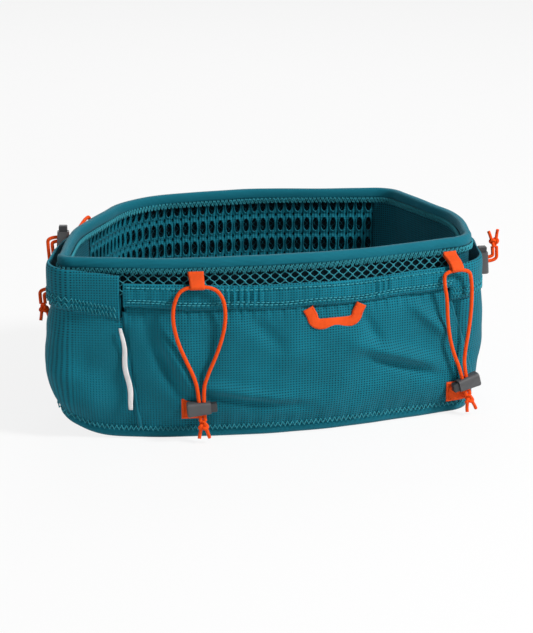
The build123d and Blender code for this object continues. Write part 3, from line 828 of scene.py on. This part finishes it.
class Loop:
    """A cord loop's frame: across it, outwards, and along from the lock to the tab."""

    def __init__(self, name, shares, height, lies, route, anchor, root, tab_along):
        self.name, self.route, self.anchor, self.root, self.tab_along = name, route, anchor, root, tab_along
        self.s, self.height, self.lies = s_of(*plan_point(*shares)), height, lies
        x, y, nx, ny = outline(self.s)
        tangent, up = np.array((-ny, nx, 0.0)), np.array((0.0, 0.0, 1.0))
        self.outward = np.array((nx, ny, 0.0))
        self.origin = np.array((x, y, height if lies != "upright" else 0.0))
        if lies == "upright":
            self.across, self.along = tangent, up
        elif lies == "left":
            self.across, self.along = up, -tangent
        else:
            self.across, self.along = -up, tangent

    def world(self, across, outward, along):
        """Metres, from the loop's own three distances."""
        point = self.origin + across * self.across + outward * self.outward + along * self.along
        return point * MM

    def on_cloth(self, across, n, along):
        """The same, but following the outline's curve, for what is sewn flat to the pack."""
        if self.lies == "upright":
            return place(self.s + across, n, along)
        if self.lies == "left":
            return place(self.s - along, n, self.height + across)
        return place(self.s + along, n, self.height - across)


LOOPS = [
    Loop("near_left", (-0.404, -0.953), 0.0, "upright",
         [(a, NEAR_CORD_PLANE, w) for a, w in NEAR_LEFT_ROUTE], (-3.6, 24.5, 9.4), 0.8, 113.4),
    Loop("near_right", (0.817, -0.824), 0.0, "upright",
         [(a, NEAR_CORD_PLANE, w) for a, w in NEAR_RIGHT_ROUTE], (4.0, 19.0, 9.4), 0.8, 111.5),
    Loop("left_upper", (-0.682, 0.562), 114.5, "left", flank_route(LONG_TAILS), (0.0, -35.0, 9.8), 0.8, 0.0),
    Loop("left_lower", (-0.74, 0.42), 79.5, "left", flank_route(SHORT_TAILS), (-1.6, -35.0, 8.6), 8.9, 0.0),
    Loop("right_side", (0.949, 0.219), 92.0, "right", flank_route(SHORT_TAILS), (0.0, -35.0, 9.8), 9.9, 0.0),
]


def nurbs(name, points, radius, material, cyclic=False):
    """A round cord on one smooth curve, with these points as its control points."""
    data = bpy.data.curves.new(name, "CURVE")
    data.dimensions = "3D"
    add_spline(data, points, cyclic)
    data.resolution_u = 10
    data.bevel_depth = radius * MM
    data.bevel_resolution = 4
    data.use_fill_caps = True
    data.materials.append(material)
    made = bpy.data.objects.new(name, data)
    bpy.context.scene.collection.objects.link(made)
    return made


def add_spline(data, points, cyclic=False):
    spline = data.splines.new("NURBS")
    spline.points.add(len(points) - 1)
    for knot, point in zip(spline.points, points):
        knot.co = (*point, 1.0)
    spline.order_u = 3
    spline.use_endpoint_u = not cyclic
    spline.use_cyclic_u = cyclic
    return spline


def as_mesh(curve):
    """The same piece as a mesh."""
    bpy.context.view_layer.update()
    name, material = curve.name, curve.data.materials[0]
    evaluated = curve.evaluated_get(bpy.context.evaluated_depsgraph_get())
    data = bpy.data.meshes.new_from_object(evaluated)
    bpy.data.objects.remove(curve)
    data.name = name
    if not data.materials:
        data.materials.append(material)
    data.shade_smooth()
    made = bpy.data.objects.new(name, data)
    bpy.context.scene.collection.objects.link(made)
    return made


def tied_knot(loop, body):
    """The cord's two ends tied in one overhand knot, with short tails."""
    route = [loop.world(*point) for point in loop.route]
    ends = (route[0] + route[-1]) / 2
    into = unit(route[0] - route[1])
    apart = route[-1] - route[0]
    side = unit(apart - into * (apart @ into))
    over = np.cross(into, side)
    centre = ends + into * (KNOT_LENGTH / 2) * MM
    size = 1.02 * MM
    turns = []
    for t in TAU * np.arange(18) / 18:
        a, b, c = math.sin(t) + 2 * math.sin(2 * t), math.cos(t) - 2 * math.cos(2 * t), -math.sin(3 * t)
        turns.append(centre + size * (a * side + b * into * 1.05 + c * 1.25 * over))
    made = nurbs(loop.name + "_knot", turns, CORD * 0.47, CORD_ORANGE, cyclic=True)
    for way in (-1, 1):
        lean = unit(into + way * 0.25 * side)
        start = centre + way * 1.3 * MM * side
        tail = [start, start + lean * 3 * MM, start + lean * 6.5 * MM + over * way * 0.8 * MM,
                start + lean * (KNOT_LENGTH / 2 + TAIL_LENGTH - 1.6) * MM]
        add_spline(made.data, tail)
    return finish(made, body, "shock_cord", loop.name + "_cord")


def smooth_line(points, count):
    """Evenly spread points on a smooth curve through these."""
    points = np.array(points, float)
    length = np.concatenate(([0], np.cumsum(np.linalg.norm(np.diff(points, axis=0), axis=1))))
    fine = np.linspace(0, length[-1], count)
    line = np.stack([np.interp(fine, length, points[:, k]) for k in range(points.shape[1])], axis=-1)
    for _ in range(3):
        line[1:-1] = (line[:-2] + 2 * line[1:-1] + line[2:]) / 4
    return line


def tape_tab(loop):
    """Tape folded round the cord, both its ends sewn down together."""
    plane, root = loop.route[len(loop.route) // 2][1], loop.root
    eye, thick = 2.0, 0.85
    width = {"near_left": 11.0, "near_right": 10.0}.get(loop.name, 12.5)
    head = {"near_left": 7.6, "near_right": 10.0}.get(loop.name, 12.0)
    arc = [(plane + eye * math.cos(a), -eye * math.sin(a)) for a in np.linspace(-0.5, math.pi * 0.95, 14)]
    path = [(root + 1.6, head), (root + 2.1, head * 0.8), (plane - 2.4, head * 0.46)] + arc
    path += [(plane - 2.7, 1.6), (plane - 4.2, head * 0.36), (root + 0.7, head * 0.7), (root + 0.3, head * 0.98)]
    line = smooth_line(path, 46)
    ahead = unit_rows(np.gradient(line, axis=0))
    normal = np.stack((ahead[:, 1], -ahead[:, 0]), axis=-1)
    v = np.linspace(-1, 1, 9)
    length = np.concatenate(([0], np.cumsum(np.linalg.norm(np.diff(line, axis=0), axis=1))))
    verts, uvs = [], []
    for side in (0.5, -0.5):
        for k in range(len(line)):
            n, w = line[k] + normal[k] * thick * side
            for a in v:
                pinch = 1 - 0.10 * math.sin(math.pi * k / len(line))
                verts.append(loop.world(a * width / 2 * pinch, n + 0.15 * (1 - a * a), w + loop.tab_along))
                uvs.append((a * width / 2 * MM, length[k] * MM))
    columns, rows = len(line), len(v)
    index = np.arange(columns * rows).reshape(columns, rows)
    rim = np.concatenate((index[:, 0], index[-1, 1:], index[-2::-1, -1], index[0, -2:0:-1]))
    after = np.roll(rim, -1)
    total = columns * rows
    faces = np.concatenate((grid_faces(columns, rows), grid_faces(columns, rows, total)[:, ::-1],
                            np.stack((rim + total, after + total, after, rim), axis=-1))).tolist()
    made = piece(loop.name + "_tab_tape", np.array(verts), faces, TAPE, np.array(uvs))
    return finish(made, "pack", "orange_tape", loop.name + "_tab")


def anchor_tape(loop):
    """A short flat tape with rounded edges, sewn down by a box of stitches."""
    a0, w0, n0 = loop.anchor
    length, width = 15.0, 14.5
    u, v = np.linspace(-1, 1, 11), np.linspace(-1, 1, 11)
    grid_u, grid_v = np.meshgrid(u, v, indexing="ij")
    crown = (1 - grid_u ** 8) * (1 - grid_v ** 8)
    verts, uvs = [], []
    for lift in (1, 0):
        for a, w, high in zip(grid_u.ravel(), grid_v.ravel(), crown.ravel()):
            n = n0 + (0.35 + 0.75 * high if lift else 0.0)
            verts.append(loop.on_cloth(a0 + a * length / 2, n, w0 + w * width / 2))
            uvs.append((a * length / 2 * MM, w * width / 2 * MM))
    index = np.arange(121).reshape(11, 11)
    rim = np.concatenate((index[:, 0], index[-1, 1:], index[-2::-1, -1], index[0, -2:0:-1]))
    after = np.roll(rim, -1)
    faces = np.concatenate((grid_faces(11, 11), grid_faces(11, 11, 121)[:, ::-1],
                            np.stack((rim + 121, after + 121, after, rim), axis=-1))).tolist()
    made = finish(piece(loop.name + "_anchor_webbing", np.array(verts), faces, TAPE, np.array(uvs)),
                  "pack", "orange_tape", loop.name + "_anchor_tape")
    box = [(-0.8, -0.8), (0.8, -0.8), (0.8, 0.8), (-0.8, 0.8), (-0.8, -0.8)]
    run = np.array([loop.on_cloth(a0 + a * length / 2, n0 + 1.15, w0 + w * width / 2) for a, w in box])
    threads(loop.name + "_anchor_stitches", [run], 0.25, CORD_ORANGE, "pack", "orange_tape", 4)
    return made


def cord_loops():
    for loop in LOOPS:
        near = loop.name.startswith("near")
        body = loop.name + "_cord_loop" if near else "pack"
        route = [loop.world(*point) for point in loop.route]
        cord = nurbs(loop.name + "_loop_cord", route, CORD / 2, CORD_ORANGE)
        if near:
            cord = as_mesh(cord)
        finish(cord, body, "shock_cord", loop.name + "_cord")
        if near:
            lock_a = (loop.route[0][0] + loop.route[-1][0]) / 2
            tuple(loop.world(lock_a * 0.6, NEAR_CORD_PLANE, 60.0))
            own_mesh(cord)
        tied_knot(loop, body)
        tape_tab(loop)
        anchor_tape(loop)
        for part, material in (("barrel", PLASTIC), ("button", DARK_PLASTIC), ("spring", STEEL)):
            paint(loop.name + "_lock_" + part, material)


def paint(name, material):
    """Gives a CAD node that stays shown its material."""
    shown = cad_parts[name]
    for slot in shown.material_slots:
        slot.material = material
    for polygon in shown.data.polygons:
        polygon.use_smooth = False


# ---- stage, light and camera ----
def is_seen(material):
    path = node(material, "ShaderNodeLightPath")
    first = math_node(material, "MAXIMUM", path.outputs["Is Camera Ray"], path.outputs["Is Glossy Ray"])
    return math_node(material, "MAXIMUM", first, path.outputs["Is Transmission Ray"])


def floor():
    material, shader = new_material("studio_floor", 0.8)
    shader.inputs["Base Color"].default_value = (0.86, 0.86, 0.86, 1)
    glow = node(material, "ShaderNodeEmission")
    glow.inputs["Strength"].default_value = 1.0
    blend = node(material, "ShaderNodeMixShader")
    link(material, math_node(material, "MULTIPLY", is_seen(material), 0.84), blend.inputs[0])
    link(material, shader.outputs[0], blend.inputs[1])
    link(material, glow.outputs[0], blend.inputs[2])
    link(material, blend.outputs[0], material.node_tree.nodes["Material Output"].inputs["Surface"])
    reach = 4.0
    verts = [(-reach, -reach, 0), (reach, -reach, 0), (reach, reach, 0), (-reach, reach, 0)]
    made = piece("studio_floor", np.array(verts), [(0, 1, 2, 3)], material)


def world_light():
    world = bpy.data.worlds.new("studio")
    bpy.context.scene.world = world
    world.use_nodes = True
    background = world.node_tree.nodes["Background"]
    background.inputs["Strength"].default_value = 0.27
    white = world.node_tree.nodes.new("ShaderNodeBackground")
    white.inputs["Strength"].default_value = 1.0
    background.inputs["Color"].default_value = white.inputs["Color"].default_value = (1, 1, 1, 1)
    path = world.node_tree.nodes.new("ShaderNodeLightPath")
    larger = world.node_tree.nodes.new("ShaderNodeMath")
    larger.operation = "MAXIMUM"
    blend = world.node_tree.nodes.new("ShaderNodeMixShader")
    links = world.node_tree.links
    links.new(path.outputs["Is Camera Ray"], larger.inputs[0])
    links.new(path.outputs["Is Glossy Ray"], larger.inputs[1])
    links.new(larger.outputs[0], blend.inputs[0])
    links.new(background.outputs[0], blend.inputs[1])
    links.new(white.outputs[0], blend.inputs[2])
    links.new(blend.outputs[0], world.node_tree.nodes["World Output"].inputs["Surface"])


def lamp(name, where, size, watts):
    data = bpy.data.lights.new(name, "AREA")
    data.shape = "DISK"
    data.size = size
    data.energy = watts
    made = bpy.data.objects.new(name, data)
    made.location = where
    aim = Vector((0, 0, 0.06)) - Vector(where)
    made.rotation_euler = aim.to_track_quat("-Z", "Y").to_euler()
    bpy.context.scene.collection.objects.link(made)


def camera():
    azimuth, elevation, distance = math.radians(-12), math.radians(17), 1.5
    target = Vector(((PLAN_MIDDLE[0] + 5.08) * MM, (PLAN_MIDDLE[1] - 16.93) * MM, 61 * MM))
    back = Vector((math.sin(azimuth) * math.cos(elevation), -math.cos(azimuth) * math.cos(elevation),
                   math.sin(elevation)))
    data = bpy.data.cameras.new("camera")
    data.sensor_fit = "HORIZONTAL"
    data.sensor_width = 36.0
    data.lens = 137.85
    data.clip_start = 0.05
    made = bpy.data.objects.new("camera", data)
    made.location = target + back * distance
    made.rotation_euler = back.to_track_quat("Z", "Y").to_euler()
    bpy.context.scene.collection.objects.link(made)
    bpy.context.scene.camera = made


camera()
cord_loops()
bindings()
inner_layer()
near_pocket()
near_hem()
far_pocket()
flanks()
seam_piping()
pull_loop()
floor()
world_light()
lamp("key", (1.3, -1.1, 1.6), 0.5, 50)
lamp("fill", (-1.6, -1.0, 0.9), 1.2, 2)
lamp("rim", (0.2, 1.5, 1.3), 0.9, 6)
bpy.context.scene.view_settings.view_transform = "Standard"
